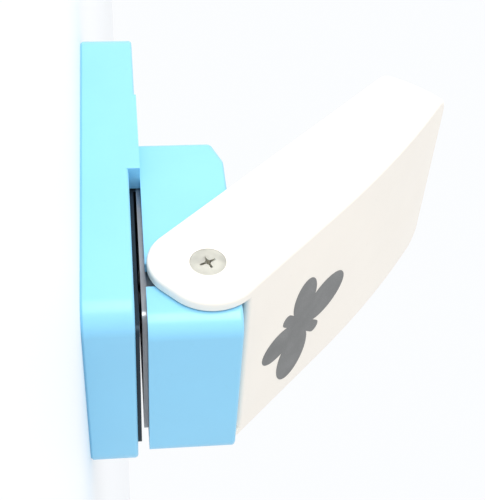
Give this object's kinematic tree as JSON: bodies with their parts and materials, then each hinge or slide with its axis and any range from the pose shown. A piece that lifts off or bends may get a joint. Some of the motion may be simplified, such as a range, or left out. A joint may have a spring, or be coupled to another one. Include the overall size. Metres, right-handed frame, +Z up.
{
  "type": "craft punch",
  "caption": "Lever craft punch: slab base with a paper throat, steel butterfly punch and die under a moulded cover, and a raised pivoting lever.",
  "frame": {"origin": "centre of the base's bounding box at the surface it stands on", "axes": "+Z up, the throat mouth faces -Y, the lever tip rises towards +Y, X is across the punch"},
  "size_m": [0.041, 0.076, 0.0706],
  "materials": {
    "blue_plastic": "smooth moulded, semi-gloss",
    "white_plastic": "smooth moulded, semi-gloss",
    "dark_plastic": "fine moulded grain",
    "black_steel": "blued and oiled",
    "tool_steel": "ground and oiled",
    "zinc_casting": "as cast, matt",
    "nickel_steel": "nickel plated",
    "spring_steel": "drawn wire"
  },
  "bodies": {
    "base": {"base_shell": "blue_plastic", "bottom_plate": "blue_plastic", "rear_cover": "blue_plastic", "front_cover": "blue_plastic", "die_plate": "black_steel", "spacer_plate": "black_steel", "guide_plate": "tool_steel", "dowel_pins": "tool_steel", "die_body": "zinc_casting", "pivot_bush_left": "nickel_steel", "pivot_bush_right": "nickel_steel", "pivot_screw_left": "nickel_steel", "pivot_screw_right": "nickel_steel", "bottom_plate_screws": "nickel_steel", "clamp_screws": "nickel_steel", "housing_screws": "nickel_steel", "nose_screws": "nickel_steel", "return_spring_front_left": "spring_steel", "return_spring_front_right": "spring_steel", "return_spring_rear_left": "spring_steel", "return_spring_rear_right": "spring_steel"},
    "lever": {"lever_shell": "white_plastic", "press_bar": "tool_steel"},
    "plunger": {"plunger": "dark_plastic", "punch": "tool_steel", "punch_screws": "nickel_steel"}
  },
  "joints": [
    {"name": "lever_hinge", "type": "hinge", "parent": "base", "child": "lever", "pos_m": [0, -0.02625, 0.02055], "axis": [-1, 0, 0], "range_deg": [0, 22], "stiffness_Nm_per_rad": 0.05, "springref_deg": -14.32},
    {"name": "plunger_slide", "type": "slide", "parent": "base", "child": "plunger", "axis": [0, 0, -1], "range_m": [0, 0.00421], "stiffness_N_per_m": 50, "springref_m": -0.004, "deforming": ["return_spring_front_left", "return_spring_front_right", "return_spring_rear_left", "return_spring_rear_right"]}
  ],
  "couplings": [
    {"joint": "plunger_slide", "follows": "lever_hinge", "m_per_rad": 0.010938}
  ]
}
